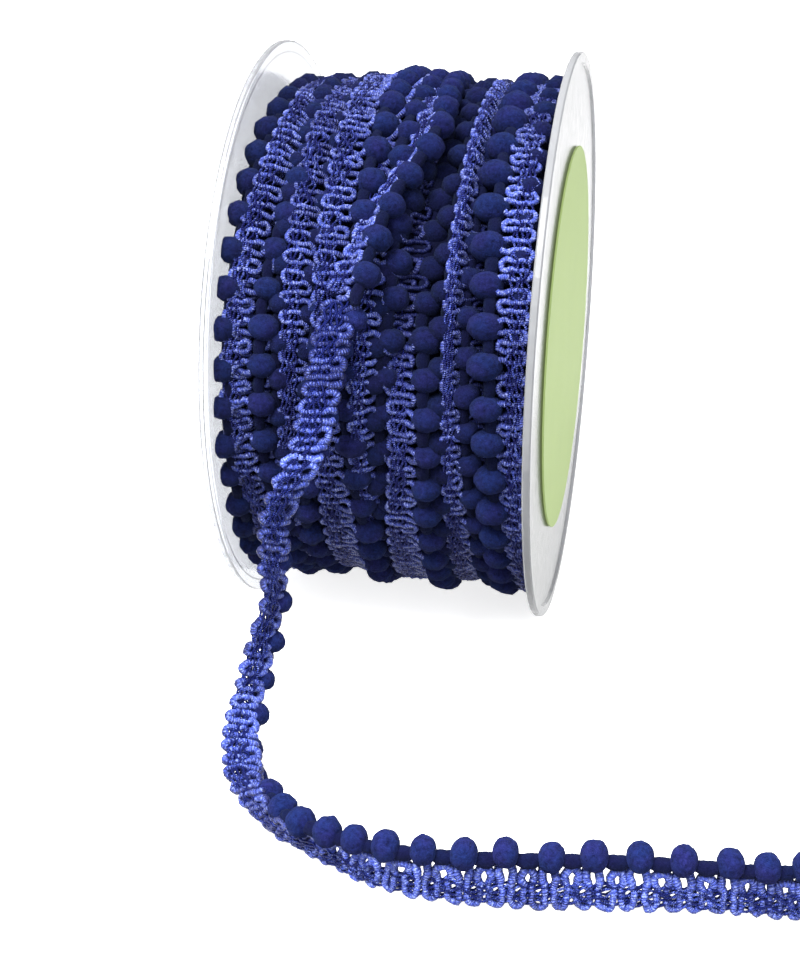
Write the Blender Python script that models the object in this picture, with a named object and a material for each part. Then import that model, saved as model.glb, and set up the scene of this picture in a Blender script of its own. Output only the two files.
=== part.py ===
"""Mini pompom trim wound on a clear plastic spool, with its loose end running out over the table.

Lengths below are in millimetres and are turned into metres where a mesh is made. +Z is up, +X
runs along the spool, and the front of the spool faces -Y. The origin is where the left flange
stands. An angle round the spool is counted in degrees from the front, 90 being the top.
"""

import math

import bmesh
import bpy
import numpy as np

MM = 0.001

# Spool: two clear flanges on a tube, standing on both rims.
AXIS_HEIGHT = 49.0
FLANGE_RADIUS = 49.35
FLANGE_WIDTH = 1.3
SPOOL_WIDTH = 52.6
WEB_THICKNESS = 0.9
RIM_DEPTH = 1.8
RIM_CHAMFER = 0.25
HUB_OUTER_RADIUS = 20.0
HUB_WALL = 1.5
PIECE_GAP = 0.3
FLANGE_SIDES = 72
HUB_SIDES = 36
FLANGE_SPACING = SPOOL_WIDTH - FLANGE_WIDTH
MIDDLE_X = FLANGE_SPACING / 2

# Round paper label on the right flange.
LABEL_RADIUS = 33.5
LABEL_THICKNESS = 0.3
LABEL_SIDES = 60

# The trim: a narrow braid with a row of small pompoms along one edge.
TRIM_BRAID_WIDTH = 5.6
TRIM_BRAID_THICKNESS = 1.3
BALL_FROM_EDGE = 8.2
BALL_RADIUS = 2.05
NECK_RADIUS = 0.62

# The wound trim.
BALLS_PER_TURN = 44
WINDING_HALF_WIDTH = 24.6
WINDING_COLUMNS = 65
WINDING_INNER_RADIUS = HUB_OUTER_RADIUS + PIECE_GAP
GROUND_RADIUS = 41.6
BALL_ROW_RADIUS = 43.7
END_DROP = 1.2

# Where a turn lies along the spool, in mm from its middle, at these angles round it.
TURN_ANGLES = (-90, -60, -30, 0, 30, 60, 90, 180)

# Rows of pompoms: name, first and last angle of the stretch, place at each of TURN_ANGLES.
POMPOM_ROWS = (
    ("left_rim", -180, 180, (-22.2, -22.2, -22.4, -22.6, -22.6, -22.4, -22.0, -22.2)),
    ("left_inner", -180, 180, (-17.2, -17.2, -17.4, -17.8, -17.4, -16.6, -16.8, -17.0)),
    ("middle_left_low", -150, -4, (-2.6, -2.4, -2.0, -3.4, -3.4, -3.2, -3.0, -2.8)),
    ("middle_left_high", 48, 210, (-2.6, -2.4, -2.0, -3.4, -3.4, -3.0, -2.8, -2.6)),
    ("middle_right", -180, 180, (8.4, 8.6, 8.8, 9.0, 7.6, 6.2, 5.8, 7.2)),
    ("right", -180, 180, (19.8, 20.0, 20.4, 19.2, 17.1, 16.7, 17.5, 18.6)),
    ("right_under", -70, 14, (16.2, 16.6, 17.0, 15.4, 15.0, 15.0, 15.0, 15.0)),
    ("right_rim", 44, 130, (22.6, 22.6, 22.6, 22.6, 22.6, 22.5, 22.4, 22.5)),
)

# Bands of braid: name, first and last angle, half width, outer radius, place at TURN_ANGLES.
BRAID_BANDS = (
    ("left", -180, 180, 2.4, 44.9, (-18.6, -18.2, -19.5, -22.0, -21.2, -18.3, -17.8, -19.5)),
    ("left_middle", -180, 180, 2.2, 44.6, (-8.2, -7.8, -7.4, -9.5, -12.6, -12.8, -12.3, -10.5)),
    ("middle", -180, 180, 2.4, 44.8, (-7.0, -6.5, -6.4, -7.0, -8.0, -7.8, -7.8, -6.8)),
    ("centre", -180, 40, 1.9, 44.2, (3.5, 3.0, 3.8, 4.8, 1.8, 1.0, 1.5, 2.5)),
    ("centre_left", -14, 30, 1.3, 43.6, (-1.2, -1.2, -1.2, -1.2, -1.2, -1.2, -1.2, -1.2)),
    ("right_middle", -180, 180, 1.8, 45.3, (13.0, 13.0, 13.0, 12.8, 12.2, 12.0, 12.8, 12.6)),
    ("right_side", -180, 180, 1.5, 44.2, (22.2, 22.0, 22.2, 22.4, 21.6, 20.4, 20.8, 21.4)),
    ("last_turn", 28, 190, 1.9, 46.9, (3.0, 0.0, -10.0, -9.0, -3.4, 2.4, 3.4, 4.4)),
)
FADE_ANGLE = 7.0

# The loose end, from where it leaves the winding to its cut end. Each row is a station: the
# pompom it is at, then the braid's outer edge and the pompom row, as x from the spool's middle,
# y and z.
LOOSE_END_STATIONS = (
    (-0.5, -7.8, -41.8, 67.8, -0.9, -43.0, 69.0),
    (0.5, -8.8, -44.0, 63.2, -2.1, -46.3, 64.4),
    (2, -10.3, -46.5, 55.8, -3.8, -50.2, 57.7),
    (4, -12.6, -49.3, 44.8, -6.0, -54.1, 46.9),
    (6, -15.3, -53.2, 33.5, -8.1, -56.0, 34.8),
    (7, -16.1, -54.0, 27.8, -9.1, -57.4, 28.6),
    (8, -16.2, -53.7, 21.5, -10.4, -59.4, 22.7),
    (9, -17.6, -57.3, 15.2, -11.4, -61.6, 17.4),
    (11, -19.2, -64.7, 6.4, -12.3, -69.0, 8.7),
    (13, -16.7, -75.2, 1.8, -10.2, -79.3, 6.1),
    (15, -8.9, -84.8, 0.0, -4.1, -89.4, 5.9),
    (17, 2.3, -92.1, 0.0, 4.6, -95.1, 7.5),
    (19, 12.6, -97.0, 0.0, 13.6, -97.8, 8.1),
    (21, 24.7, -98.2, 0.0, 24.5, -97.5, 8.2),
    (23, 36.6, -96.8, 0.0, 36.2, -95.2, 8.0),
    (25, 48.8, -94.9, 0.0, 48.4, -93.7, 8.1),
    (27, 60.8, -93.1, 0.0, 60.5, -93.0, 8.2),
    (29, 71.4, -92.6, 0.0, 70.7, -91.8, 8.1),
    (31, 83.5, -91.6, 0.0, 83.0, -90.6, 8.1),
)
BALLS_ON_LOOSE_END = 32
LOOSE_STEPS_PER_BALL = 4


def clear_scene():
    for obj in list(bpy.data.objects):
        bpy.data.objects.remove(obj)


def plain_material(name, colour, roughness, alpha=1.0, transmission=0.0):
    material = bpy.data.materials.new(name)
    material.use_nodes = True
    shader = material.node_tree.nodes["Principled BSDF"]
    shader.inputs["Base Color"].default_value = (*colour, 1.0)
    shader.inputs["Roughness"].default_value = roughness
    shader.inputs["Alpha"].default_value = alpha
    shader.inputs["Transmission Weight"].default_value = transmission
    return material


def add_solid(name, points, faces, material):
    """One closed mesh from points in millimetres, its faces turned outwards."""
    mesh = bpy.data.meshes.new(name)
    mesh.from_pydata((np.asarray(points, float) * MM).tolist(), [], faces)
    mesh.materials.append(material)
    work = bmesh.new()
    work.from_mesh(mesh)
    bmesh.ops.recalc_face_normals(work, faces=work.faces)
    work.to_mesh(mesh)
    work.free()
    obj = bpy.data.objects.new(name, mesh)
    bpy.context.scene.collection.objects.link(obj)
    return obj


def round_the_spool(x, radius, degrees):
    """A point x from the spool's middle, radius from its axis, at an angle from the front."""
    angle = np.radians(degrees)
    x, radius, angle = np.broadcast_arrays(x, radius, angle)
    return np.stack(
        [MIDDLE_X + x, -radius * np.cos(angle), AXIS_HEIGHT + radius * np.sin(angle)],
        axis=-1,
    )


def turned_faces(rings, sides, closed_profile):
    """Quads between rings of points, each ring going round the axis once."""
    faces = []
    for ring in range(rings if closed_profile else rings - 1):
        low = ring * sides
        high = (ring + 1) % rings * sides
        for side in range(sides):
            after = (side + 1) % sides
            faces.append((low + side, low + after, high + after, high + side))
    return faces


def split_high(faces, heights):
    """Quads as triangles, each split between its two higher corners."""
    split = []
    for a, b, c, d in faces:
        if heights[a] + heights[c] > heights[b] + heights[d]:
            split += [(a, b, c), (a, c, d)]
        else:
            split += [(a, b, d), (b, c, d)]
    return split


def turned_solid(name, profile, sides, material, stands_on_floor):
    """A closed profile of (x from the middle, radius) turned round the spool's axis."""
    degrees = np.arange(sides) * 360.0 / sides - 90.0
    points = np.concatenate([round_the_spool(x, radius, degrees) for x, radius in profile])
    if stands_on_floor:
        points[:, 2] = np.maximum(points[:, 2], 0.0)
    return add_solid(name, points, turned_faces(len(profile), sides, True), material)


def make_flange(name, side, material):
    """A thin disc with a thicker rim, open at the hub and flat where it stands."""
    inner = SPOOL_WIDTH / 2 - FLANGE_WIDTH
    outer = SPOOL_WIDTH / 2
    web = inner + WEB_THICKNESS
    bore = HUB_OUTER_RADIUS - HUB_WALL
    rim_inside = FLANGE_RADIUS - RIM_DEPTH
    profile = [
        (inner, bore),
        (inner, FLANGE_RADIUS - RIM_CHAMFER),
        (inner + RIM_CHAMFER, FLANGE_RADIUS),
        (outer - RIM_CHAMFER, FLANGE_RADIUS),
        (outer, FLANGE_RADIUS - RIM_CHAMFER),
        (outer, rim_inside),
        (web, rim_inside - RIM_CHAMFER),
        (web, bore),
    ]
    if side < 0:
        profile = [(-x, radius) for x, radius in reversed(profile)]
    return turned_solid(name, profile, FLANGE_SIDES, material, True)


def make_hub(material):
    """The tube that the trim is wound on."""
    end = SPOOL_WIDTH / 2 - FLANGE_WIDTH - PIECE_GAP
    bore = HUB_OUTER_RADIUS - HUB_WALL
    profile = [
        (-end, bore),
        (-end, HUB_OUTER_RADIUS),
        (end, HUB_OUTER_RADIUS),
        (end, bore),
    ]
    return turned_solid("hub", profile, HUB_SIDES, material, False)


def make_label(material):
    """A plain paper disc, just off the right flange's outer face."""
    inner = SPOOL_WIDTH / 2 - FLANGE_WIDTH + WEB_THICKNESS + PIECE_GAP
    degrees = np.arange(LABEL_SIDES) * 360.0 / LABEL_SIDES
    near = round_the_spool(inner, LABEL_RADIUS, degrees)
    far = round_the_spool(inner + LABEL_THICKNESS, LABEL_RADIUS, degrees)
    faces = turned_faces(2, LABEL_SIDES, False)
    faces.append(tuple(reversed(range(LABEL_SIDES))))
    faces.append(tuple(range(LABEL_SIDES, 2 * LABEL_SIDES)))
    return add_solid("label", np.concatenate([near, far]), faces, material)


def place_of_turn(places, degrees):
    """Where a turn lies along the spool at an angle, easing between its named places."""
    known = np.array(TURN_ANGLES, float)
    known = np.append(known, known[0] + 360.0)
    values = np.append(np.array(places, float), places[0])
    wrapped = (np.asarray(degrees, float) - known[0]) % 360.0 + known[0]
    index = np.clip(np.searchsorted(known, wrapped, side="right") - 1, 0, len(places) - 1)
    share = (wrapped - known[index]) / (known[index + 1] - known[index])
    eased = share * share * (3.0 - 2.0 * share)
    return values[index] + (values[index + 1] - values[index]) * eased


def inside_stretch(degrees, first, last):
    """1 within a stretch of angles, falling to 0 just past its ends."""
    if last - first >= 360:
        return np.ones_like(degrees)
    middle = (first + last) / 2
    half = (last - first) / 2
    off = np.abs((degrees - middle + 180.0) % 360.0 - 180.0)
    return np.clip((half - off) / FADE_ANGLE + 0.5, 0.0, 1.0)


def winding_radius(x, degrees):
    """The wound trim's outer radius: bare ground, bands of braid and rows of pompoms."""
    radius = np.full(x.shape, GROUND_RADIUS)
    for _, first, last, half_width, outer, places in BRAID_BANDS:
        off = np.abs(x - place_of_turn(places, degrees)) / half_width
        height = (outer - GROUND_RADIUS) * np.clip(1.0 - off**4, 0.0, 1.0)
        height = height * inside_stretch(degrees, first, last)
        radius = np.maximum(radius, GROUND_RADIUS + height)
    pitch = 360.0 / BALLS_PER_TURN
    along = ((degrees / pitch + 0.5) % 1.0 - 0.5) * math.radians(pitch) * BALL_ROW_RADIUS
    for _, first, last, places in POMPOM_ROWS:
        off = x - place_of_turn(places, degrees)
        left = BALL_RADIUS**2 - off**2 - (0.55 * along) ** 2
        height = BALL_ROW_RADIUS + np.sqrt(np.maximum(left, 0.0)) - GROUND_RADIUS
        height = np.where(left > 0.0, height, 0.0) * inside_stretch(degrees, first, last)
        radius = np.maximum(radius, GROUND_RADIUS + height)
    near_end = np.abs(x) > WINDING_HALF_WIDTH - 0.01
    return np.where(near_end, radius - END_DROP, radius)


def make_winding(material):
    """All the wound trim as one ring round the hub."""
    sides = 2 * BALLS_PER_TURN
    degrees = np.arange(sides) * 360.0 / sides
    xs = np.linspace(-WINDING_HALF_WIDTH, WINDING_HALF_WIDTH, WINDING_COLUMNS)
    grid_x, grid_degrees = np.meshgrid(xs, degrees, indexing="ij")
    radius = winding_radius(grid_x, grid_degrees)
    inner = np.full(sides, WINDING_INNER_RADIUS)
    points = [
        round_the_spool(grid_x, radius, grid_degrees).reshape(-1, 3),
        round_the_spool(WINDING_HALF_WIDTH, inner, degrees),
        round_the_spool(-WINDING_HALF_WIDTH, inner, degrees),
    ]
    heights = np.concatenate([radius.ravel(), inner, inner])
    faces = split_high(turned_faces(WINDING_COLUMNS + 2, sides, True), heights)
    return add_solid("winding", np.concatenate(points), faces, material)


def smooth_between(known, rows, at):
    """A smooth curve through rows that are known at some places along it."""
    known = np.asarray(known, float)
    rows = np.asarray(rows, float)
    slopes = np.gradient(rows, known, axis=0)
    index = np.clip(np.searchsorted(known, at, side="right") - 1, 0, len(known) - 2)
    span = (known[index + 1] - known[index])[:, None]
    share = (at - known[index])[:, None] / span
    return (
        rows[index] * (1 + 2 * share) * (1 - share) ** 2
        + rows[index + 1] * share**2 * (3 - 2 * share)
        + slopes[index] * span * share * (1 - share) ** 2
        - slopes[index + 1] * span * share**2 * (1 - share)
    )


def trim_section(ball):
    """The trim's cross-section as (from the outer edge, off its middle plane) points."""
    half = TRIM_BRAID_THICKNESS / 2
    neck = BALL_FROM_EDGE - ball
    return [
        (0.0, -half),
        (TRIM_BRAID_WIDTH, -half),
        (neck + 0.3 * ball, -0.714 * ball),
        (neck + ball, -ball),
        (neck + 1.7 * ball, -0.714 * ball),
        (neck + 2.0 * ball, 0.0),
        (neck + 1.7 * ball, 0.714 * ball),
        (neck + ball, ball),
        (neck + 0.3 * ball, 0.714 * ball),
        (TRIM_BRAID_WIDTH, half),
        (0.0, half),
    ]


def make_loose_end(material):
    """The trim that has come off the spool, with its pompoms raised in the strip."""
    steps = BALLS_ON_LOOSE_END * LOOSE_STEPS_PER_BALL
    count = steps + 1
    stations = np.array(LOOSE_END_STATIONS, float)
    at = np.linspace(-0.5, BALLS_ON_LOOSE_END - 0.5, count)
    track = smooth_between(stations[:, 0], stations[:, 1:], at)
    edge = track[:, :3] + (MIDDLE_X, 0.0, 0.0)
    ball = track[:, 3:] + (MIDDLE_X, 0.0, 0.0)
    across = ball - edge
    across /= np.linalg.norm(across, axis=1)[:, None]
    forward = np.gradient((edge + ball) / 2, axis=0)
    normal = np.cross(across, forward)
    normal /= np.linalg.norm(normal, axis=1)[:, None]
    points = []
    for step in range(count):
        phase = step / LOOSE_STEPS_PER_BALL - 0.5
        swell = 0.5 + 0.5 * math.cos(2 * math.pi * phase)
        size = NECK_RADIUS + (BALL_RADIUS - NECK_RADIUS) * swell**0.6
        for out, off in trim_section(size):
            points.append(edge[step] + across[step] * out + normal[step] * off)
    points = np.array(points)
    points[:, 2] = np.maximum(points[:, 2], 0.0)
    sides = len(trim_section(BALL_RADIUS))
    faces = turned_faces(count, sides, False)
    faces.append(tuple(reversed(range(sides))))
    faces.append(tuple(range((count - 1) * sides, count * sides)))
    return add_solid("loose_end", points, faces, material)


def main():
    clear_scene()
    clear_plastic = plain_material("clear_plastic", (0.9, 0.92, 0.92), 0.08, 0.4, 0.8)
    paper = plain_material("label_paper", (0.45, 0.56, 0.29), 0.6)
    trim = plain_material("navy_trim", (0.022, 0.028, 0.16), 0.85)
    make_flange("flange_left", -1, clear_plastic)
    make_flange("flange_right", 1, clear_plastic)
    make_hub(clear_plastic)
    make_label(paper)
    make_winding(trim)
    make_loose_end(trim)


main()
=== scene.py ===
"""Mini pompom trim on a clear plastic spool: the dressed model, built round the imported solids.

Lengths in the tables are in millimetres, as x from the spool's middle, y and z, and become
metres where a mesh is made. An angle round the spool is in degrees from the front, 90 being
the top. A place along the trim is counted in pompoms.
"""

import math

import bpy
import numpy as np
from mathutils import Matrix, Vector


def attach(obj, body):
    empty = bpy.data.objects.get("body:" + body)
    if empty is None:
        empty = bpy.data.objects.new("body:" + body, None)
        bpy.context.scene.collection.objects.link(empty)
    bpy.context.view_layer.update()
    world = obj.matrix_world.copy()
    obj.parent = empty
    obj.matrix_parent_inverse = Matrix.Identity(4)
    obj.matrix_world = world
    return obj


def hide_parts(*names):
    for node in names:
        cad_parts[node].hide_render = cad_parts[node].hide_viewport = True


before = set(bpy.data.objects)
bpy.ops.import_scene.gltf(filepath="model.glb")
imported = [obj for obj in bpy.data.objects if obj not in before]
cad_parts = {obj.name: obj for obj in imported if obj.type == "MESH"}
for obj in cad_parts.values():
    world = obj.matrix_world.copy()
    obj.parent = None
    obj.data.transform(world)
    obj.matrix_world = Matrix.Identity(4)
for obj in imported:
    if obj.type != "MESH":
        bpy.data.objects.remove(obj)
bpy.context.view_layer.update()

MM = 0.001
TURN = 2 * math.pi
ROOT = "root"
RANDOM = np.random.default_rng(7)

# The spool, as the solids have it: its axis, its middle, and how far from the middle the
# pompoms and the braid may reach before they press on a flange.
AXIS_HEIGHT = 49.0
MIDDLE_X = 25.65
POMPOM_REACH = 24.8
BRAID_REACH = 24.3

# The trim, measured across from the braid's scalloped edge.
POMPOM_PLACE = 8.2
POMPOM_RADIUS = 2.3
POMPOM_HALF_LENGTH = 1.92
NECK_RADIUS = 0.98
NECK_SAG = 0.85
BRAID_MIDDLE = 2.8
CORD_RADIUS = 0.53
# How much the cord narrows under a row of stitches, and over what distance from it.
CORD_PINCH = 0.05
PINCH_WIDTH = 0.3
# How much brighter the cord's face is painted than its sides, a painted highlight, and how much
# thicker its rings are.
CORD_PAINTED_HIGHLIGHT = 0.55
RING_THICKER = 0.17
STITCH_ROWS = (1.3, 1.95, 2.6, 3.25, 3.9)
STITCH_RADIUS = 0.23
STITCHES_PER_POMPOM = 8
STITCH_ZIGZAG = 0.24
# Where along the trim the first stitch is, in pompoms from the first pompom.
STITCH_START = -0.375
# A thread that crosses over the cord: how far out it lies, in cord radii, and how thin it is.
STITCH_OVER = 0.82
STITCH_OVER_THIN = 0.72
STITCH_UNDER = 0.24
# Ways across the trim, as where a change starts and over how many millimetres it happens: from
# the braid's radius to the pompoms', the tuck behind the braid, and the rings' width and girth.
RADIUS_CHANGE = (2.6, 4.4)
TUCK_CHANGE = (5.6, 2.4)
RING_WIDTH_CHANGE = (3.6, 0.6)
RING_GIRTH_CHANGE = (3.7, 0.8)
# The part of the cord's repeat that is its ring starts here, in pompoms.
RING_FROM = 0.3
# How uneven the cord is from point to point: along in pompoms, across and off in millimetres.
UNEVEN_ALONG = 0.013
UNEVEN_ACROSS = 0.11
UNEVEN_OFF = 0.08
# Slower wanders, as (pompoms between changes, size): in place, off the plane, and in tone.
WANDER_ALONG = (0.25, 0.02)
WANDER_OFF = (0.5, 0.14)
TONE_SLOW = (2.3, 0.14)
TONE_QUICK = (0.2, 0.09)
# How uneven the stitches are across, off the plane and in tone, and how much darker they are.
STITCH_UNEVEN_ACROSS = 0.09
STITCH_UNEVEN_OFF = 0.06
STITCH_UNEVEN_TONE = 0.22
STITCH_DARKER = 0.08
# A pompom runs this many degrees to each side of its middle, and its girth falls off as a
# circle's does, raised to a power. A wider one is also longer, by this share of what it gains.
BALL_LEAN = 80
BALL_POWER = 0.85
GIRTH_TO_LENGTH = 0.6
# How uneven the pompoms are: along in pompoms, across and off in millimetres, in the way they
# face, and in size as (departure, least, most).
BALL_UNEVEN_ALONG = 0.02
BALL_UNEVEN_ACROSS = 0.14
BALL_UNEVEN_OFF = 0.14
BALL_UNEVEN_FACING = 0.1
BALL_SIZES = (0.04, 0.9, 1.08)
# The neck between two pompoms: how far it reaches to each side in pompoms, its thickness in the
# middle, what its thickness and its sag lose towards its ends, and how uneven it is.
NECK_REACH = 0.3
NECK_STEPS = 9
NECK_MIDDLE = 1.08
NECK_TAPER = 0.42
NECK_LIFT = 0.6
NECK_UNEVEN_ACROSS = 0.1
NECK_UNEVEN_GIRTH = 0.07
# Pompoms round one turn, and the degrees that one takes up.
BALLS_PER_TURN = 44
DEGREES_PER_BALL = 360.0 / BALLS_PER_TURN
# The last turn: the angle that it leaves at, the degrees for a pompom, and its pompoms.
LAST_TURN_LEAVES = 29.0
LAST_TURN_PER_BALL = -7.28
LAST_TURN_BALLS = 31

# One repeat of the braid's cord, as (pompoms along, mm across, mm off the braid's plane): down
# to the scalloped edge and back up to each pompom, then round the small ring between them.
CORD_REPEAT = (
    (-0.385, 2.75, 0.05),
    (-0.39, 2.2, 0.1),
    (-0.39, 1.6, 0.0),
    (-0.375, 1.05, 0.05),
    (-0.32, 0.62, 0.1),
    (-0.25, 0.5, 0.1),
    (-0.18, 0.62, 0.1),
    (-0.125, 1.05, 0.05),
    (-0.11, 1.6, 0.0),
    (-0.11, 2.2, 0.1),
    (-0.11, 2.75, 0.0),
    (-0.11, 3.3, 0.1),
    (-0.115, 3.9, 0.0),
    (-0.15, 4.55, 0.1),
    (-0.18, 5.2, 0.3),
    (-0.165, 5.9, 0.7),
    (-0.09, 6.5, 1.05),
    (0.07, 6.5, 1.05),
    (0.115, 5.9, 0.7),
    (0.15, 5.2, 0.3),
    (0.155, 4.55, 0.1),
    (0.115, 3.9, 0.0),
    (0.11, 3.3, 0.1),
    (0.11, 2.75, 0.0),
    (0.11, 2.2, 0.1),
    (0.11, 1.6, 0.0),
    (0.125, 1.05, 0.05),
    (0.18, 0.62, 0.1),
    (0.25, 0.5, 0.1),
    (0.32, 0.62, 0.1),
    (0.375, 1.05, 0.05),
    (0.39, 1.6, 0.0),
    (0.39, 2.2, 0.1),
    (0.385, 2.75, 0.0),
    (0.41, 3.35, 0.1),
    (0.4, 3.85, 0.2),
    (0.35, 4.25, 0.2),
    (0.33, 4.85, 0.2),
    (0.365, 5.45, 0.2),
    (0.44, 5.8, 0.25),
    (0.56, 5.8, 0.25),
    (0.635, 5.45, 0.2),
    (0.67, 4.85, 0.2),
    (0.65, 4.25, 0.2),
    (0.6, 3.85, 0.2),
    (0.59, 3.35, 0.1),
)

# Where a turn lies along the spool at these angles, and how far out. Each row is a turn: its
# name, the braid's radius, the pompoms' radius, the braid's middle and the pompom row.
TURN_ANGLES = (-90, -60, -30, 0, 30, 60, 90)
FULL_TURNS = (
    (
        "left",
        (44.2, 44.2, 44.4, 44.8, 45.0, 45.2, 43.0),
        (43.2, 43.2, 43.2, 43.2, 43.0, 42.2, 41.8),
        (-18.6, -18.2, -19.5, -21.8, -21.2, -18.3, -18.0),
        (-17.0, -16.6, -16.4, -17.6, -17.0, -14.0, -16.2),
    ),
    (
        "left_middle",
        (43.0, 42.6, 43.2, 43.6, 44.0, 44.2, 42.9),
        (42.8, 42.8, 43.0, 42.4, 42.2, 42.2, 41.8),
        (-14.5, -15.0, -15.4, -13.0, -12.9, -12.8, -12.3),
        (-10.6, -11.2, -11.8, -9.2, -8.6, -8.2, -7.8),
    ),
    (
        "middle",
        (43.8, 43.0, 43.8, 44.0, 44.2, 44.5, 43.9),
        (43.2, 43.4, 43.4, 43.2, 43.2, 43.6, 43.6),
        (-7.6, -7.3, -7.0, -7.2, -7.8, -7.8, -7.8),
        (-2.6, -2.3, -1.6, -3.4, -3.2, -3.0, -2.9),
    ),
    (
        "centre_left",
        (42.4, 42.4, 43.0, 44.6, 44.6, 42.2, 42.0),
        (42.0, 42.0, 41.6, 41.2, 42.4, 42.8, 43.0),
        (-1.6, -1.4, -1.4, -1.6, -1.5, -3.2, -3.4),
        (3.2, 3.2, 2.4, 2.0, 3.0, 1.2, 1.7),
    ),
    (
        "centre",
        (44.2, 44.0, 43.9, 42.9, 40.0, 38.9, 39.8),
        (43.4, 43.4, 43.5, 43.0, 40.6, 39.6, 40.4),
        (3.3, 3.3, 3.8, 4.8, 2.2, 3.0, 3.4),
        (8.4, 8.6, 8.8, 9.0, 7.9, 8.2, 8.2),
    ),
    (
        "right_middle",
        (44.0, 43.6, 43.0, 43.4, 44.0, 44.3, 43.8),
        (42.6, 42.6, 42.4, 42.0, 41.4, 41.2, 41.2),
        (13.0, 13.0, 12.9, 12.6, 12.2, 12.6, 13.4),
        (17.0, 17.0, 16.6, 15.2, 14.6, 14.9, 15.6),
    ),
    (
        "right",
        (44.4, 44.9, 45.2, 44.9, 44.6, 44.2, 43.4),
        (43.4, 43.5, 43.8, 44.0, 44.0, 43.8, 43.0),
        (23.5, 23.6, 23.5, 22.9, 22.3, 21.4, 21.8),
        (19.4, 19.8, 19.8, 18.9, 17.2, 17.0, 17.8),
    ),
)
LOW_TURNS = (
    (
        "left_rim",
        (41.6, 41.6, 41.6, 41.6, 41.6, 41.6, 41.6),
        (43.4, 43.6, 44.2, 44.5, 44.1, 42.7, 41.6),
        (-17.2, -17.2, -17.4, -17.8, -17.6, -17.2, -17.2),
        (-22.6, -22.8, -23.2, -23.8, -23.4, -22.2, -21.4),
    ),
    (
        "left_low",
        (41.4, 41.4, 41.4, 41.4, 41.4, 41.4, 41.4),
        (42.4, 42.4, 42.4, 42.5, 42.3, 42.2, 42.2),
        (-19.4, -19.4, -19.4, -19.6, -19.4, -19.4, -19.4),
        (-14.4, -14.4, -14.4, -14.6, -15.0, -15.6, -15.4),
    ),
    (
        "middle_low",
        (41.2, 41.2, 41.2, 41.2, 41.2, 41.2, 41.2),
        (41.9, 41.9, 41.9, 41.9, 41.9, 41.9, 41.9),
        (-5.6, -5.6, -5.6, -5.6, -5.6, -5.6, -5.6),
        (-10.6, -10.6, -10.6, -10.4, -10.4, -10.4, -10.4),
    ),
    (
        "centre_low",
        (41.2, 41.2, 41.2, 41.2, 41.2, 41.2, 41.2),
        (41.9, 41.9, 41.9, 41.9, 41.9, 41.9, 41.9),
        (5.6, 5.6, 5.6, 5.6, 5.6, 5.6, 5.6),
        (0.8, 0.8, 0.8, 0.6, 0.6, 5.0, 5.2),
    ),
    (
        "right_low",
        (41.4, 41.4, 41.4, 41.4, 41.4, 41.4, 41.4),
        (42.0, 42.0, 42.0, 42.0, 42.0, 42.0, 42.0),
        (16.2, 16.2, 16.2, 16.2, 16.2, 16.2, 16.2),
        (11.0, 11.0, 11.0, 11.0, 10.6, 10.4, 10.4),
    ),
    (
        "right_rim",
        (41.6, 41.6, 41.6, 41.6, 41.6, 41.6, 41.6),
        (42.8, 42.8, 42.8, 42.8, 42.8, 43.0, 43.0),
        (17.6, 17.6, 17.6, 17.6, 17.6, 17.6, 17.6),
        (22.7, 22.7, 22.7, 22.7, 22.7, 22.6, 22.5),
    ),
)

# Turns whose pompoms are squeezed wider than the others.
SWOLLEN = {"right": 1.2, "middle": 1.1, "left_rim": 1.08, "left": 1.05, "centre": 1.1}

# The last turn, which climbs over the others and leaves them. Each row is a station: the angle,
# then the braid's radius, the pompoms' radius, the braid's middle and the pompom row.
LAST_TURN = (
    (29, 45.3, 47.6, -4.7, -0.7),
    (36, 45.0, 47.0, -3.0, 0.2),
    (43, 44.4, 46.4, -1.5, 1.4),
    (49, 44.1, 46.2, 0.3, 3.0),
    (56, 44.0, 46.0, 2.3, 5.3),
    (64, 43.9, 45.8, 3.6, 6.7),
    (75, 43.5, 44.5, 3.3, 6.3),
    (84, 43.0, 43.6, 2.9, 5.6),
    (105, 42.8, 43.0, 2.4, 5.0),
    (150, 44.8, 45.0, 1.0, 4.4),
    (200, 44.6, 44.8, 0.2, 4.2),
    (240, 43.4, 43.6, 0.0, 4.0),
    (262, 41.6, 41.6, 0.0, 4.0),
)

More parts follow.
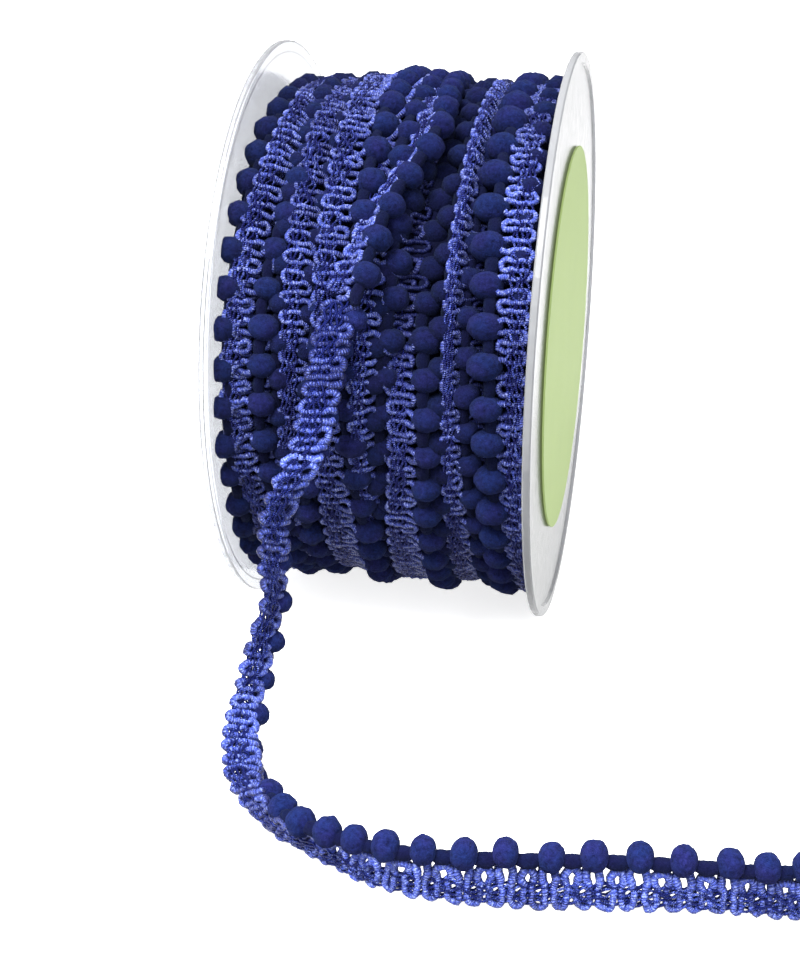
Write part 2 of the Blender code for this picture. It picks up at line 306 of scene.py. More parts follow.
# The loose end, from where it leaves the winding to its cut end. Each row is a station: the
# pompom it is at, then the braid's outer edge and the pompom row.
LOOSE_END_STATIONS = (
    (-0.5, -7.4, -43.4, 68.4, 0.6, -41.5, 68.7),
    (0.5, -8.1, -46.8, 64.2, -0.1, -44.9, 64.3),
    (2, -9.0, -50.0, 57.3, -1.0, -48.2, 57.2),
    (4, -11.0, -54.0, 46.9, -3.0, -52.2, 46.6),
    (6, -14.5, -58.0, 35.8, -9.1, -52.5, 33.3),
    (7, -14.6, -59.0, 30.4, -9.5, -53.7, 26.8),
    (8, -13.8, -59.8, 24.9, -10.9, -53.9, 20.0),
    (9, -15.5, -62.5, 18.3, -11.2, -56.6, 14.6),
    (11, -17.3, -69.5, 9.6, -12.0, -64.3, 6.0),
    (13, -16.0, -77.0, 3.9, -8.1, -76.2, 4.6),
    (14, -12.6, -81.2, 1.9, -6.8, -83.6, 6.2),
    (15, -8.3, -84.8, 0.1, -4.1, -88.8, 5.9),
    (17, 2.3, -92.1, 0.0, 4.6, -95.1, 7.5),
    (19, 12.6, -97.0, 0.0, 13.6, -97.8, 8.1),
    (21, 24.7, -98.2, 0.0, 24.5, -97.5, 8.2),
    (23, 36.6, -96.8, 0.0, 36.2, -95.2, 8.0),
    (25, 48.8, -94.9, 0.0, 48.4, -93.7, 8.1),
    (27, 60.8, -93.1, 0.0, 60.5, -93.0, 8.2),
    (29, 71.4, -92.6, 0.0, 70.7, -91.8, 8.1),
    (31, 83.5, -91.6, 0.0, 83.0, -90.6, 8.1),
)
BALLS_ON_LOOSE_END = 32
# How far the pompoms are tucked behind the braid: (pompom, share).
LOOSE_TUCK = (
    (-0.5, 0.3),
    (0.5, 1.0),
    (6.4, 1.0),
    (7.6, 0.45),
    (11, 0.5),
    (12.6, 1.0),
    (13.4, 0.95),
    (14.4, 0.75),
    (15.6, 0.35),
    (16.8, 0.0),
    (32, 0.0),
)
# The tone of the loose end's cord, where the wound cord's is 0.5: (pompom, tone). Its lower tone
# where it leaves the spool is painted shade, blending into the shaded wound turns.
LOOSE_TONE = (
    (0, -0.05),
    (2, 0.06),
    (5, 0.34),
    (8, 0.38),
    (14, 0.35),
    (18, 0.5),
    (32, 0.52),
)
# Where a tucked pompom goes to: this far in across the trim, and this far behind the braid.
TUCK_IN = 3.8
TUCK_BACK = 2.6
# The ring for the turns that nothing shows of: its reach to each side, its radii and its waves.
BURIED_REACH = 24.4
BURIED_INSIDE = 20.4
BURIED_OUTSIDE = 40.6
BURIED_WAVE = 0.5
WAVES_ROUND = 22
STEPS_PER_WAVE = 6
# Painted shade: yarn is painted darker towards the buried turns, where the winding lies in shade,
# over these radii from the spool's axis.
SHADE_DARKEST_RADIUS = 41.8
SHADE_FREE_RADIUS = 45.4
# How much of the gimp cord's length one slanting wrap of its thread takes up.
WRAP_PITCH = 0.36

# The camera that the photograph was taken with, in this object's frame, and its axes.
CAMERA_PLACE = (80.95, -297.6, 156.5)
CAMERA_BACK = (0.177, -0.892, 0.4161)
CAMERA_RIGHT = (0.9809, 0.1947, 0.0)
CAMERA_LENS = 80.24
SENSOR_WIDTH = 36.0


def make_camera():
    """The photograph's camera."""
    data = bpy.data.cameras.new("camera")
    data.sensor_fit = "HORIZONTAL"
    data.sensor_width = SENSOR_WIDTH
    data.lens = CAMERA_LENS
    data.clip_start = 0.01
    data.clip_end = 20.0
    camera = bpy.data.objects.new("camera", data)
    bpy.context.scene.collection.objects.link(camera)
    back = Vector(CAMERA_BACK).normalized()
    up = back.cross(Vector(CAMERA_RIGHT)).normalized()
    right = up.cross(back)
    turn = Matrix((right, up, back)).transposed().to_4x4()
    camera.matrix_world = Matrix.Translation(Vector(CAMERA_PLACE) * MM) @ turn
    bpy.context.scene.camera = camera


# Shapes


def round_the_spool(x, radius, degrees):
    """A point x from the spool's middle, radius from its axis, at an angle from the front."""
    angle = np.radians(degrees)
    x, radius, angle = np.broadcast_arrays(x, radius, angle)
    return np.stack(
        [MIDDLE_X + x, -radius * np.cos(angle), AXIS_HEIGHT + radius * np.sin(angle)],
        axis=-1,
    )


def smooth_between(known, rows, at):
    """A smooth curve through rows that are known at some places along it."""
    known = np.asarray(known, float)
    rows = np.asarray(rows, float)
    slopes = np.gradient(rows, known, axis=0)
    index = np.clip(np.searchsorted(known, at, side="right") - 1, 0, len(known) - 2)
    span = (known[index + 1] - known[index])[:, None]
    share = (at - known[index])[:, None] / span
    return (
        rows[index] * (1 + 2 * share) * (1 - share) ** 2
        + rows[index + 1] * share**2 * (3 - 2 * share)
        + slopes[index] * span * share * (1 - share) ** 2
        - slopes[index + 1] * span * share**2 * (1 - share)
    )


def along_table(along, table):
    """A table's value at places along the trim, in straight lines between its rows."""
    return np.interp(along, *np.transpose(table))


def unit(vectors):
    return vectors / np.maximum(np.linalg.norm(vectors, axis=-1, keepdims=True), 1e-12)


def ease(value, start, width):
    """A smooth step from 0 to 1 that begins at start and takes width."""
    share = np.clip((value - start) / width, 0.0, 1.0)
    return share * share * (3.0 - 2.0 * share)


def wound_lay(known, rows, first, per_ball):
    """How a wound turn lies: a function from along, across and off to points and normals."""

    def lay(along, across, off):
        degrees = first + along * per_ball
        braid_radius, ball_radius, braid_x, ball_x = smooth_between(known, rows, degrees).T
        x = braid_x + (across - BRAID_MIDDLE) / (POMPOM_PLACE - BRAID_MIDDLE) * (ball_x - braid_x)
        rise = ease(across, *RADIUS_CHANGE)
        radius = braid_radius + rise * (ball_radius - braid_radius) + off
        x = np.clip(x, -BRAID_REACH, BRAID_REACH)
        points = round_the_spool(x, radius, degrees)
        normals = unit(points - round_the_spool(x, 0.0, degrees))
        return points, normals

    return lay


def closed_turn(row):
    """A turn's table carried on past both ends, so that it closes on itself."""
    _, *columns = row
    columns = np.array(columns, float)
    known = np.array(TURN_ANGLES, float)
    angles = np.concatenate([known[-2:] - 360.0, known, known[:2] + 360.0])
    table = np.concatenate([columns[:, -2:], columns, columns[:, :2]], axis=1)
    return angles, table.T


def loose_lay(along, across, off):
    """How the loose end lies: from along, across and off to points and normals."""
    stations = np.array(LOOSE_END_STATIONS, float)

    def track(at):
        return smooth_between(stations[:, 0], stations[:, 1:], at)

    here = track(along)
    step = 0.25
    ahead = track(along + step) - track(along - step)
    edge, ball = here[:, :3], here[:, 3:]
    away = ball - edge
    forward = ahead[:, :3] + ahead[:, 3:]
    normals = unit(np.cross(unit(away), forward))
    length = np.linalg.norm(away, axis=1, keepdims=True)
    reach = away / length * POMPOM_PLACE
    root = ball - reach
    tuck = along_table(along, LOOSE_TUCK) * ease(across, *TUCK_CHANGE)
    share = (across - TUCK_IN * tuck) / POMPOM_PLACE
    lift = off + TUCK_BACK * tuck
    points = root + reach * share[:, None] + normals * lift[:, None]
    return points + (MIDDLE_X, 0.0, 0.0), normals


def add_mesh(name, points, faces, uvs, tone, material):
    """One smooth mesh from points in millimetres, with uv and tone at each point."""
    mesh = bpy.data.meshes.new(name)
    mesh.vertices.add(len(points))
    mesh.vertices.foreach_set("co", (points * MM).astype(np.float32).ravel())
    sizes = np.array([len(group[0]) for group in faces for _ in group])
    corners = np.concatenate([group.ravel() for group in faces])
    mesh.loops.add(len(corners))
    mesh.loops.foreach_set("vertex_index", corners.astype(np.int32))
    starts = np.concatenate([[0], np.cumsum(sizes)[:-1]])
    mesh.polygons.add(len(sizes))
    mesh.polygons.foreach_set("loop_start", starts.astype(np.int32))
    mesh.polygons.foreach_set("use_smooth", np.ones(len(sizes), bool))
    layer = mesh.uv_layers.new(name="along_and_round")
    layer.uv.foreach_set("vector", uvs[corners].astype(np.float32).ravel())
    shade = mesh.attributes.new("tone", "FLOAT", "POINT")
    shade.data.foreach_set("value", tone.astype(np.float32))
    mesh.update(calc_edges=True)
    mesh.validate()
    mesh.materials.append(material)
    obj = bpy.data.objects.new(name, mesh)
    bpy.context.scene.collection.objects.link(obj)
    return obj


class Tubes:
    """Closed round cords gathered into one mesh."""

    def __init__(self, sides, painted_highlight=0.0):
        self.sides = sides
        self.painted_highlight = painted_highlight
        self.points = []
        self.quads = []
        self.caps = []
        self.uvs = []
        self.tones = []
        self.count = 0

    def add(self, path, normals, radii, tone):
        """One more cord along a path, with caps at its ends and a painted highlight on its outer
        face.
        """
        sides = self.sides
        rings = len(path)
        forward = unit(np.gradient(path, axis=0))
        sideways = unit(np.cross(forward, normals))
        upward = np.cross(sideways, forward)
        turn = np.arange(sides) * TURN / sides
        radii = np.broadcast_to(radii, (rings,))[:, None, None]
        ring = (
            path[:, None, :]
            + radii * np.cos(turn)[None, :, None] * sideways[:, None, :]
            + radii * np.sin(turn)[None, :, None] * upward[:, None, :]
        )
        base = self.count + np.arange(rings - 1)[:, None] * sides
        low = base + np.arange(sides)
        after = base + (np.arange(sides) + 1) % sides
        self.quads.append(np.stack([low, after, after + sides, low + sides], -1).reshape(-1, 4))
        first = self.count + np.arange(sides)
        self.caps.append(np.stack([first[::-1], first + (rings - 1) * sides]))
        gone = np.concatenate([[0.0], np.cumsum(np.linalg.norm(np.diff(path, axis=0), axis=1))])
        self.points.append(ring.reshape(-1, 3))
        around = np.tile(np.arange(sides) / sides, rings)
        self.uvs.append(np.stack([np.repeat(gone, sides), around], axis=-1))
        # Painted highlight: the tone is raised on the faces that look off the braid, so the sides
        # read shaded.
        painted_highlight = self.painted_highlight * np.tile(np.sin(turn) ** 2, rings)
        self.tones.append(np.repeat(np.broadcast_to(tone, (rings,)), sides) + painted_highlight)
        self.count += rings * sides

    def mesh(self, name, material):
        faces = [np.concatenate(self.quads), np.concatenate(self.caps)]
        points, uvs, tones = map(np.concatenate, (self.points, self.uvs, self.tones))
        return add_mesh(name, points, faces, uvs, tones, material)


def uneven(size, count=None):
    """Random departures of about this size, one or a row of them."""
    return RANDOM.normal(0.0, size, count)


def slow_noise(along, scale, size):
    """A smooth random wander along the trim."""
    count = int((along.max() - along.min()) / scale) + 4
    known = along.min() - scale + np.arange(count) * scale
    return np.interp(along, known, uneven(size, count))


def lay_cord(tubes, lay, first, last, finer, thickness=1.0, rings=1.0, tone=((0, 0.5),)):
    """The braid's cord from one pompom to another.

    Its points can be made finer, and its rings drawn in to a share of their width.
    """
    repeat = np.array(CORD_REPEAT)
    count = last - first
    in_ring = ease(repeat[:, 1], *RING_WIDTH_CHANGE) * (repeat[:, 0] > RING_FROM)
    along = 0.5 + (repeat[:, 0] - 0.5) * (1.0 - in_ring * (1.0 - rings))
    along = (along[None, :] + first + np.arange(count)[:, None]).ravel()
    across = np.tile(repeat[:, 1], count)
    off = np.tile(repeat[:, 2], count)
    across = across + uneven(UNEVEN_ACROSS, len(across))
    along = along + uneven(UNEVEN_ALONG, len(along)) + slow_noise(along, *WANDER_ALONG)
    off = off + uneven(UNEVEN_OFF, len(off)) + slow_noise(along, *WANDER_OFF)
    if finer > 1:
        place = np.arange(len(along))
        at = np.linspace(0, len(along) - 1, (len(along) - 1) * finer + 1)
        along, across, off = smooth_between(place, np.stack([along, across, off], 1), at).T
    near = np.abs(across[:, None] - np.array(STITCH_ROWS)[None, :])
    pinch = np.exp(-((near / PINCH_WIDTH) ** 2)).sum(axis=1)
    points, normals = lay(along, across, off)
    radii = thickness * (CORD_RADIUS - CORD_PINCH * pinch)
    radii = radii * (1.0 + RING_THICKER * ease(across, *RING_GIRTH_CHANGE))
    shade = along_table(along, tone) + slow_noise(along, *TONE_SLOW)
    tubes.add(points, normals, radii, shade + slow_noise(along, *TONE_QUICK))


def lay_stitches(tubes, lay, first, last, side, tone=((0, 0.5),)):
    """The fine threads that bind the cord's passes, on one face of the braid."""
    count = (last - first) * STITCHES_PER_POMPOM
    place = np.arange(count)
    over = place % 2 == 0
    along = first + STITCH_START + place / STITCHES_PER_POMPOM
    for number, row in enumerate(STITCH_ROWS):
        zigzag = np.where((place + number) // 2 % 2 == 0, STITCH_ZIGZAG, -STITCH_ZIGZAG)
        across = row + zigzag + uneven(STITCH_UNEVEN_ACROSS, count)
        height = np.where(over, CORD_RADIUS * STITCH_OVER, STITCH_UNDER)
        off = side * (height + uneven(STITCH_UNEVEN_OFF, count))
        points, normals = lay(along, across, off)
        radii = np.where(over, STITCH_RADIUS * STITCH_OVER_THIN, STITCH_RADIUS)
        shade = along_table(along, tone) + uneven(STITCH_UNEVEN_TONE, count) - STITCH_DARKER
        tubes.add(points, normals, radii, shade)


def lay_pompoms(balls, necks, lay, first, last, rings, girth=1.0):
    """The pompom yarn: balls, wider than they are long, on a thinner core."""
    lean = np.radians(np.linspace(-BALL_LEAN, BALL_LEAN, rings))
    neck_share = np.linspace(-1.0, 1.0, NECK_STEPS)
    for ball in range(first, last):
        at = ball + np.array([-0.1, 0.0, 0.1]) + uneven(BALL_UNEVEN_ALONG)
        across = np.full(3, POMPOM_PLACE + uneven(BALL_UNEVEN_ACROSS))
        near, normals = lay(at, across, np.full(3, uneven(BALL_UNEVEN_OFF)))
        forward = unit(near[2] - near[0] + uneven(BALL_UNEVEN_FACING, 3))
        departure, least, most = BALL_SIZES
        size = np.clip(1.0 + uneven(departure), least, most)
        length = size * POMPOM_HALF_LENGTH * (1.0 + GIRTH_TO_LENGTH * (girth - 1.0))
        points = near[1] + np.outer(length * np.sin(lean), forward)
        normals = np.broadcast_to(normals[1], points.shape)
        radii = size * girth * POMPOM_RADIUS * np.cos(lean) ** BALL_POWER
        balls.add(points, normals, radii, RANDOM.uniform(0.0, 1.0))
        along = ball + 0.5 + neck_share * NECK_REACH
        sag = NECK_SAG * (1.0 - NECK_LIFT * neck_share**2)
        across = POMPOM_PLACE - sag + uneven(NECK_UNEVEN_ACROSS)
        points, normals = lay(along, across, np.zeros(NECK_STEPS))
        radii = NECK_RADIUS * (NECK_MIDDLE - NECK_TAPER * neck_share**2)
        radii = radii * (1.0 + uneven(NECK_UNEVEN_GIRTH))
        necks.add(points, normals, radii, RANDOM.uniform(0.0, 1.0))


def roughen(tubes, size, wavelength):
    """Small uneven swellings all over, so that no two pompoms are alike."""
    for number, points in enumerate(tubes.points):
        swell = np.zeros(len(points))
        for _ in range(6):
            wave = uneven(1.0, 3)
            wave *= TURN / wavelength / np.linalg.norm(wave) * RANDOM.uniform(0.6, 1.6)
            swell += np.sin(points @ wave + RANDOM.uniform(0, TURN))
        centre = points.reshape(-1, tubes.sides, 3).mean(axis=1, keepdims=True)
        away = points.reshape(-1, tubes.sides, 3) - centre
        grow = 1.0 + size * swell.reshape(-1, tubes.sides, 1)
        tubes.points[number] = (centre + away * grow).reshape(-1, 3)


# Materials


class Value:
    """A socket's value in a material's maths: expressions on it add Math nodes."""

    def __init__(self, nodes, socket):
        self.nodes = nodes
        self.socket = socket

    def maths(self, operation, *others, clamp=False):
        settings = {"operation": operation, "use_clamp": clamp}
        return self.nodes.node("ShaderNodeMath", settings, dict(enumerate((self, *others))))

    def __add__(self, other):
        return self.maths("ADD", other)

    def __radd__(self, other):
        return self.maths("ADD", other)

    def __sub__(self, other):
        return self.maths("SUBTRACT", other)

    def __rsub__(self, other):
        return self.nodes.node("ShaderNodeMath", {"operation": "SUBTRACT"}, {0: other, 1: self})

    def __mul__(self, other):
        return self.maths("MULTIPLY", other)

    def __rmul__(self, other):
        return self.maths("MULTIPLY", other)

    def __truediv__(self, other):
        return self.maths("DIVIDE", other)

    def __pow__(self, other):
        return self.maths("POWER", other)

    def sine(self):
        return self.maths("SINE")

    def limited(self):
        return self.maths("ADD", 0.0, clamp=True)


class Nodes:
    """A tree of shader nodes under construction, round the shader that it ends in."""

    def __init__(self, tree, shader):
        self.tree = tree
        self.shader = tree.nodes[shader]

    def node(self, kind, settings=None, sockets=None, output=0):
        made = self.tree.nodes.new(kind)
        for name, value in (settings or {}).items():
            setattr(made, name, value)
        for name, value in (sockets or {}).items():
            self.put(made.inputs[name], value)
        return Value(self, made.outputs[output])

    def put(self, socket, value):
        if isinstance(value, Value):
            self.tree.links.new(value.socket, socket)
        elif socket.type == "RGBA" and len(value) == 3:
            socket.default_value = (*value, 1.0)
        else:
            socket.default_value = value

    def set(self, **sockets):
        for name, value in sockets.items():
            self.put(self.shader.inputs[name.replace("_", " ")], value)


class Finish(Nodes):
    """One material under construction."""

    def __init__(self, name):
        self.material = bpy.data.materials.new(name)
        self.material.use_nodes = True
        super().__init__(self.material.node_tree, "Principled BSDF")

    def places(self):
        """Each point's place in its own object."""
        return self.node("ShaderNodeTexCoord", output=3)

    def painted_shade_by_depth(self):
        """Painted shade by depth: from 0 deep between the turns to 1 at the outside of the
        winding.
        """
        y = self.node("ShaderNodeSeparateXYZ", {}, {0: self.places()}, output=1)
        z = self.node("ShaderNodeSeparateXYZ", {}, {0: self.places()}, output=2)
        z = z - AXIS_HEIGHT * MM
        radius = (y * y + z * z) ** 0.5
        return ((radius - SHADE_DARKEST_RADIUS * MM) / ((SHADE_FREE_RADIUS - SHADE_DARKEST_RADIUS) * MM)).limited()

    def tone(self):
        return self.node("ShaderNodeAttribute", {"attribute_name": "tone"}, output=2)

    def noise(self, scale, detail, roughness):
        sockets = {"Vector": self.places(), "Scale": scale, "Detail": detail}
        return self.node("ShaderNodeTexNoise", {}, {**sockets, "Roughness": roughness})

    def mixed(self, factor, one, other):
        sockets = {0: factor, 6: one, 7: other}
        return self.node("ShaderNodeMix", {"data_type": "RGBA"}, sockets, output=2)

    def raised(self, height, strength, distance):
        sockets = {"Height": height, "Strength": strength, "Distance": distance}
        return self.node("ShaderNodeBump", {}, sockets)


def pompom_finish(name, violet, teal, dark, wound):
    """Cut chenille: matte and velvety, mottled where its pile parts."""
    finish = Finish(name)
    fibres = finish.noise(5200.0, 3.0, 0.7)
    clumps = finish.noise(1500.0, 3.0, 0.6)
    patches = finish.noise(260.0, 2.0, 0.5)
    dye = ((patches - 0.5) * 3.0 + finish.tone() * 0.6 + 0.2).limited()
    share = (clumps * 1.5 + fibres * 1.2 - 0.85).limited()
    # Painted shade: wound pile is darker the deeper it lies in the winding.
    if wound:
        share = share * (finish.painted_shade_by_depth() * 0.85 + 0.15)
    finish.set(
        Base_Color=finish.mixed(share, dark, finish.mixed(dye, violet, teal)),
        Roughness=0.95,
        Specular_IOR_Level=0.08,
        Sheen_Weight=0.05,
        Sheen_Roughness=0.5,
        Sheen_Tint=PILE_SHEEN,
        Normal=finish.raised(fibres * 0.4 + clumps * 0.6, 1.0, 0.0006),
    )
    return finish.material


def cord_finish(name, bright, light, dark, shine, wound):
    """Gimp cord: shiny thread wrapped slantwise round a core, with painted glints here and there.
    """
    finish = Finish(name)
    uv = finish.node("ShaderNodeUVMap", {"uv_map": "along_and_round"})
    along = finish.node("ShaderNodeSeparateXYZ", {}, {0: uv})
    around = finish.node("ShaderNodeSeparateXYZ", {}, {0: uv}, output=1)
    wraps = (along * (TURN / WRAP_PITCH) + around * TURN).sine() * 0.5 + 0.5
    strands = finish.noise(3600.0, 3.0, 0.7)
    glints = ((finish.noise(2900.0, 1.0, 0.5) - 0.5) * 8.0).limited()
    patches = finish.noise(420.0, 2.0, 0.5)
    share = finish.tone() + wraps * 0.35 + strands * 1.3 + patches * 0.6 - 1.55
    share = share.limited()
    # Painted shade: wound cord is darker the deeper it lies in the winding.
    if wound:
        share = share * (finish.painted_shade_by_depth() * 0.8 + 0.2)
    finish.set(
        # Painted highlight: glints mix the base colour towards the bright glint colour.
        Base_Color=finish.mixed(glints * share * 0.75, finish.mixed(share, dark, light), bright),
        Roughness=0.55 - wraps * 0.15,
        Specular_IOR_Level=shine,
        Normal=finish.raised(wraps * 0.5 + strands * 0.5, 1.0, 0.00025),
    )
    return finish.material


def plastic_finish(name, clearness, shade, shine):
    """Clear moulded styrene, a little milky and scuffed."""
    finish = Finish(name)
    waves = finish.noise(60.0, 2.0, 0.5)
    scuffs = finish.noise(500.0, 3.0, 0.6)
    dull = [shade * value for value in STYRENE_DULL]
    bright = [shade * value for value in STYRENE_BRIGHT]
    finish.set(
        Base_Color=finish.mixed(scuffs, dull, bright),
        Roughness=0.16 + scuffs * 0.12,
        IOR=1.46,
        Specular_IOR_Level=shine,
        Transmission_Weight=clearness,
        Normal=finish.raised(waves, 0.2, 0.0004),
    )
    return finish.material


def label_finish():
    """Uncoated sage green paper, with a painted glow in its own colour."""
    finish = Finish("sage_paper")
    fibres = finish.noise(1500.0, 3.0, 0.7)
    clouds = finish.noise(90.0, 2.0, 0.5)
    share = (fibres * 0.5 + clouds * 0.5).limited()
    sage = finish.mixed(share, SAGE_DARK, SAGE_LIGHT)
    finish.set(
        Base_Color=sage,
        Roughness=0.6,
        Specular_IOR_Level=0.3,
        # Painted glow: the paper emits its own colour, though it is no lamp.
        Emission_Color=sage,
        Emission_Strength=0.7,
        Normal=finish.raised(fibres, 0.2, 0.0001),
    )
    return finish.material


NAVY_VIOLET = (0.030, 0.034, 0.215)
NAVY_TEAL = (0.019, 0.040, 0.212)
NAVY_DARK = (0.003, 0.004, 0.032)
CORE_VIOLET = (0.010, 0.011, 0.066)
CORE_TEAL = (0.007, 0.013, 0.068)
PILE_SHEEN = (0.25, 0.4, 0.8)
# The glint colours are painted highlights, mixed into the cord's base colour.
ROYAL_GLINT = (0.42, 0.52, 0.95)
ROYAL_LIGHT = (0.096, 0.156, 0.82)
ROYAL_DARK = (0.005, 0.009, 0.085)
# The wound cord's colours are the royal ones a little less saturated, with paler glints: a painted
# reflection of white light on the wound turns.
WOUND_GLINT = (0.52, 0.60, 1.0)
WOUND_LIGHT = (0.102, 0.158, 0.76)
WOUND_DARK = (0.006, 0.008, 0.075)
STYRENE_DULL = (0.90, 0.92, 0.97)
STYRENE_BRIGHT = (1.0, 1.02, 1.06)
SAGE_DARK = (0.23, 0.31, 0.11)
SAGE_LIGHT = (0.27, 0.35, 0.13)
FLOOR_DARK = (0.86, 0.86, 0.87)
FLOOR_LIGHT = (0.88, 0.88, 0.88)
WHITE = (1.0, 1.0, 1.0)
# The floor, in metres: how far it reaches each way, and its height.
FLOOR_REACH = 6.0
FLOOR_HEIGHT = -0.0002
# How bright the yarns are that hang loose, and the darker copies, painted with shade, for those
# pressed into the winding and those buried.
LOOSE_CORD = 1.0
LOOSE_PILE = 0.86
PRESSED_CORD_SHADE = 0.78
PRESSED_PILE_SHADE = 0.56
BURIED_CORD_SHADE = 0.42
BURIED_PILE_SHADE = 0.42
# The stitching thread beside the gimp cord: brighter, and less shiny.
THREAD_BRIGHTER = 1.25
GIMP_SHINE = 0.35
THREAD_SHINE = 0.12

# The pieces


def new_yarns(cord, stitch, ball, neck):
    """The trim's four yarns with nothing laid yet, by the number of sides that each has."""
    return Tubes(cord, CORD_PAINTED_HIGHLIGHT), Tubes(stitch), Tubes(ball), Tubes(neck)


def finished(yarns, name, materials, cord="cord"):
    """A joined mesh for each of the trim's yarns that was laid."""
    parts = zip(yarns, (cord, "stitching", "pompoms", "pompom_core"), materials)
    return [yarn.mesh(f"{name}_{part}", material) for yarn, part, material in parts if yarn.count]


def make_turns(rows, name, materials, fine):
    """Wound turns, where fine ones have stitching and rounder yarn."""
    yarns = new_yarns(6, 4, 16, 9) if fine else new_yarns(4, 4, 10, 6)
    cords, stitches, balls, necks = yarns
    for row in rows:
        known, table = closed_turn(row)
        shift = RANDOM.uniform(0.0, 1.0)
        first = -180.0 + shift * DEGREES_PER_BALL
        lay = wound_lay(known, table, first, DEGREES_PER_BALL)
        lay_cord(cords, lay, 0, BALLS_PER_TURN, finer=1, thickness=0.88, rings=0.74)
        if fine:
            lay_stitches(stitches, lay, 0, BALLS_PER_TURN, side=1)
        girth = SWOLLEN.get(row[0], 1.0)
        rings = 11 if fine else 7
        lay_pompoms(balls, necks, lay, 0, BALLS_PER_TURN, rings, girth)
    roughen(balls, size=0.02, wavelength=2.0)
    for points in balls.points:
        points[:, 0] = np.clip(points[:, 0], MIDDLE_X - POMPOM_REACH, MIDDLE_X + POMPOM_REACH)
    return finished(yarns, name, materials)


def make_last_turn(materials):
    """The turn that lies over the others, from behind the spool to where it leaves."""
    first = -LAST_TURN_BALLS
    last = 1
    stations = np.array(LAST_TURN, float)
    lay = wound_lay(stations[:, 0], stations[:, 1:], LAST_TURN_LEAVES, LAST_TURN_PER_BALL)
    yarns = new_yarns(8, 5, 20, 12)
    cords, stitches, balls, necks = yarns
    lay_cord(cords, lay, first, last, finer=1, thickness=0.92, rings=0.8)
    lay_stitches(stitches, lay, first, last, side=1)
    lay_pompoms(balls, necks, lay, first, last, rings=13)
    roughen(balls, size=0.02, wavelength=2.0)
    return finished(yarns, "last_turn", materials)


def make_loose_end(materials):
    """The length that has come off the spool."""
    yarns = new_yarns(10, 6, 28, 16)
    cords, stitches, balls, necks = yarns
    last = BALLS_ON_LOOSE_END
    lay_cord(cords, loose_lay, 0, last, finer=2, thickness=1.06, tone=LOOSE_TONE)
    for side in (1, -1):
        lay_stitches(stitches, loose_lay, 0, last, side, tone=LOOSE_TONE)
    lay_pompoms(balls, necks, loose_lay, 0, last, rings=19, girth=0.97)
    roughen(balls, size=0.015, wavelength=2.2)
    roughen(balls, size=0.01, wavelength=0.9)
    roughen(necks, size=0.03, wavelength=1.3)
    return finished(yarns, "loose", materials, cord="braid")


def make_buried_turns(material):
    """The turns that nothing shows of: a dark ring under the ones that show, in painted shade."""
    sides = WAVES_ROUND * STEPS_PER_WAVE
    profile = (
        (-BURIED_REACH, BURIED_INSIDE, 0.0),
        (-BURIED_REACH, BURIED_OUTSIDE, BURIED_WAVE),
        (BURIED_REACH, BURIED_OUTSIDE, BURIED_WAVE),
        (BURIED_REACH, BURIED_INSIDE, 0.0),
    )
    degrees = np.arange(sides) * 360.0 / sides
    waves = np.sin(np.radians(degrees) * WAVES_ROUND)
    rings = [round_the_spool(x, radius + height * waves, degrees) for x, radius, height in profile]
    faces = []
    for ring in range(len(profile)):
        low = ring * sides + np.arange(sides)
        low_after = ring * sides + (np.arange(sides) + 1) % sides
        shift = ((ring + 1) % len(profile) - ring) * sides
        faces.append(np.stack([low, low_after, low_after + shift, low + shift], axis=-1))
    points = np.concatenate(rings)
    uvs = np.zeros((len(points), 2))
    tone = np.zeros(len(points))
    return add_mesh("buried_turns", points, [np.concatenate(faces)], uvs, tone, material)


def trim_finishes(name, wound, cord_share, pile_share):
    """The trim's four yarns, in a share of their full colour; the wound copies' lower shares are
    painted shade.
    """

    def part(share, *colours):
        return [tuple(min(share * value, 1.0) for value in colour) for colour in colours]

    # Wound cord takes the wound colours, a painted reflection.
    if wound:
        cord = part(cord_share, WOUND_GLINT, WOUND_LIGHT, WOUND_DARK)
    else:
        cord = part(cord_share, ROYAL_GLINT, ROYAL_LIGHT, ROYAL_DARK)
    thread = part(THREAD_BRIGHTER, *cord)
    pile = part(pile_share, NAVY_VIOLET, NAVY_TEAL, NAVY_DARK)
    core = part(pile_share, CORE_VIOLET, CORE_TEAL, NAVY_DARK)
    return (
        cord_finish(name + "_gimp", *cord, GIMP_SHINE * cord_share, wound),
        cord_finish(name + "_thread", *thread, THREAD_SHINE * cord_share, wound),
        pompom_finish(name + "_chenille", *pile, wound),
        pompom_finish(name + "_short_pile", *core, wound),
    )


def dress_node(name, material):
    """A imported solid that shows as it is, in one finish."""
    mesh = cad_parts[name].data
    mesh.materials.clear()
    mesh.materials.append(material)


def make_floor():
    """A pale sheet of paper, far larger than the picture and a hair below the part."""
    mesh = bpy.data.meshes.new("floor")
    far = FLOOR_REACH
    corners = [(-far, -far, 0), (far, -far, 0), (far, far, 0), (-far, far, 0)]
    mesh.from_pydata(corners, [], [(0, 1, 2, 3)])
    finish = Finish("floor_paper")
    grain = finish.noise(40.0, 2.0, 0.5)
    finish.set(
        Base_Color=finish.mixed(grain, FLOOR_DARK, FLOOR_LIGHT),
        Roughness=0.9,
        Specular_IOR_Level=0.1,
        Emission_Color=WHITE,
        Emission_Strength=0.76,
    )
    mesh.materials.append(finish.material)
    floor = bpy.data.objects.new("floor", mesh)
    floor.location = (0.0, 0.0, FLOOR_HEIGHT)
    bpy.context.scene.collection.objects.link(floor)
    floor.visible_diffuse = False


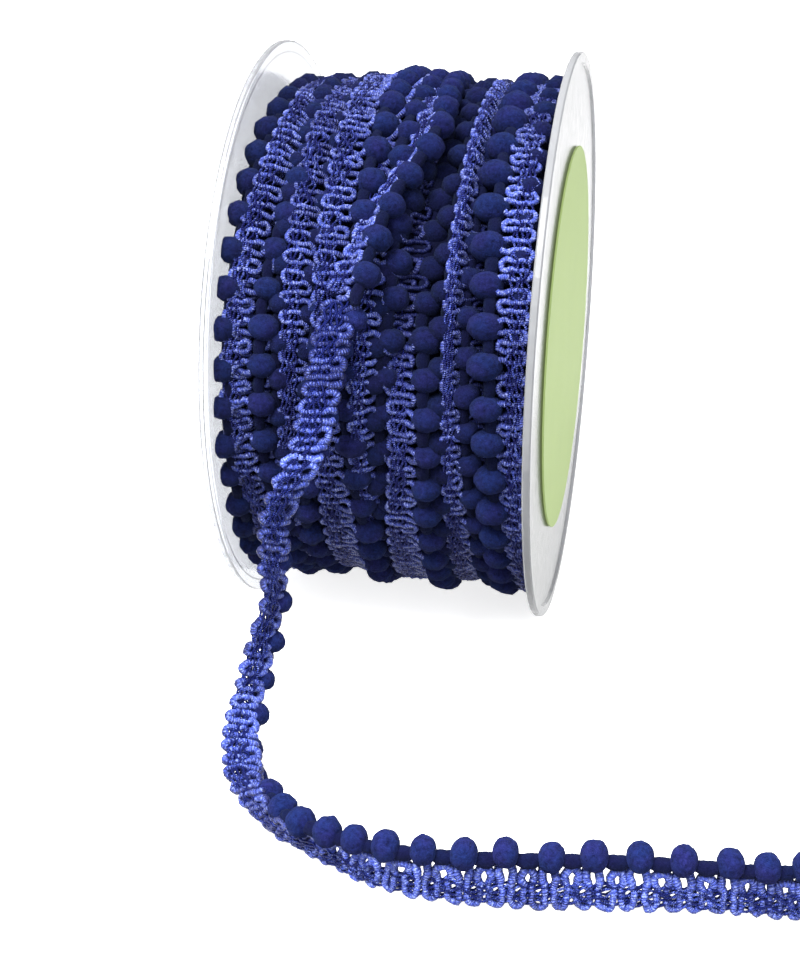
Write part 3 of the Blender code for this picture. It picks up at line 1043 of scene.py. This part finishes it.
def add_light(name, place, aim, size, watts):
    """A soft rectangular lamp that faces a point."""
    data = bpy.data.lights.new(name, "AREA")
    data.shape = "RECTANGLE"
    data.size, data.size_y = size
    data.energy = watts
    light = bpy.data.objects.new(name, data)
    bpy.context.scene.collection.objects.link(light)
    light.location = place
    away = Vector(place) - Vector(aim)
    light.rotation_euler = away.to_track_quat("Z", "Y").to_euler()


def light_scene():
    """A soft white room, brighter overhead, with a large lamp above and one in front."""
    world = bpy.data.worlds.new("studio")
    bpy.context.scene.world = world
    world.use_nodes = True
    room = Nodes(world.node_tree, "Background")
    up = room.node("ShaderNodeSeparateXYZ", {}, {0: room.node("ShaderNodeTexCoord")}, output=2)
    heights = {"From Min": -0.4, "From Max": 0.8}
    strengths = {"To Min": 0.15, "To Max": 0.95}
    strength = room.node("ShaderNodeMapRange", {}, {"Value": up, **heights, **strengths})
    room.set(Color=WHITE, Strength=strength)
    aim = (MIDDLE_X * MM, -0.02, 0.04)
    add_light("key", place=(-0.15, -0.35, 0.6), aim=aim, size=(0.35, 0.35), watts=10.0)
    add_light("fill", place=(0.45, -0.6, 0.35), aim=aim, size=(0.5, 0.4), watts=2.5)


make_camera()
bpy.context.scene.view_settings.view_transform = "Standard"
light_scene()
make_floor()

loose_finishes = trim_finishes("loose", False, LOOSE_CORD, LOOSE_PILE)
# The pressed and buried yarns are copies of the loose ones, darkened as painted shade.
pressed_shaded_finishes = trim_finishes("pressed", True, PRESSED_CORD_SHADE, PRESSED_PILE_SHADE)
buried_shaded_finishes = trim_finishes("buried", True, BURIED_CORD_SHADE, BURIED_PILE_SHADE)

clear_plastic = plastic_finish("clear_styrene", clearness=0.84, shade=0.76, shine=0.5)
milky_plastic = plastic_finish("milky_styrene", clearness=0.5, shade=0.47, shine=0.1)
dress_node("flange_left", clear_plastic)
dress_node("hub", clear_plastic)
dress_node("flange_right", milky_plastic)
dress_node("label", label_finish())

loose = make_loose_end(loose_finishes)
for piece in loose:
    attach(piece, ROOT)
    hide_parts("loose_end")

wound = make_turns(FULL_TURNS, "wound", pressed_shaded_finishes, fine=True)
wound += make_turns(LOW_TURNS, "low", buried_shaded_finishes, fine=False)
wound += make_last_turn(pressed_shaded_finishes)
# The buried ring wears the buried core finish, a painted shade.
wound.append(make_buried_turns(buried_shaded_finishes[3]))
for piece in wound:
    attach(piece, ROOT)
    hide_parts("winding")
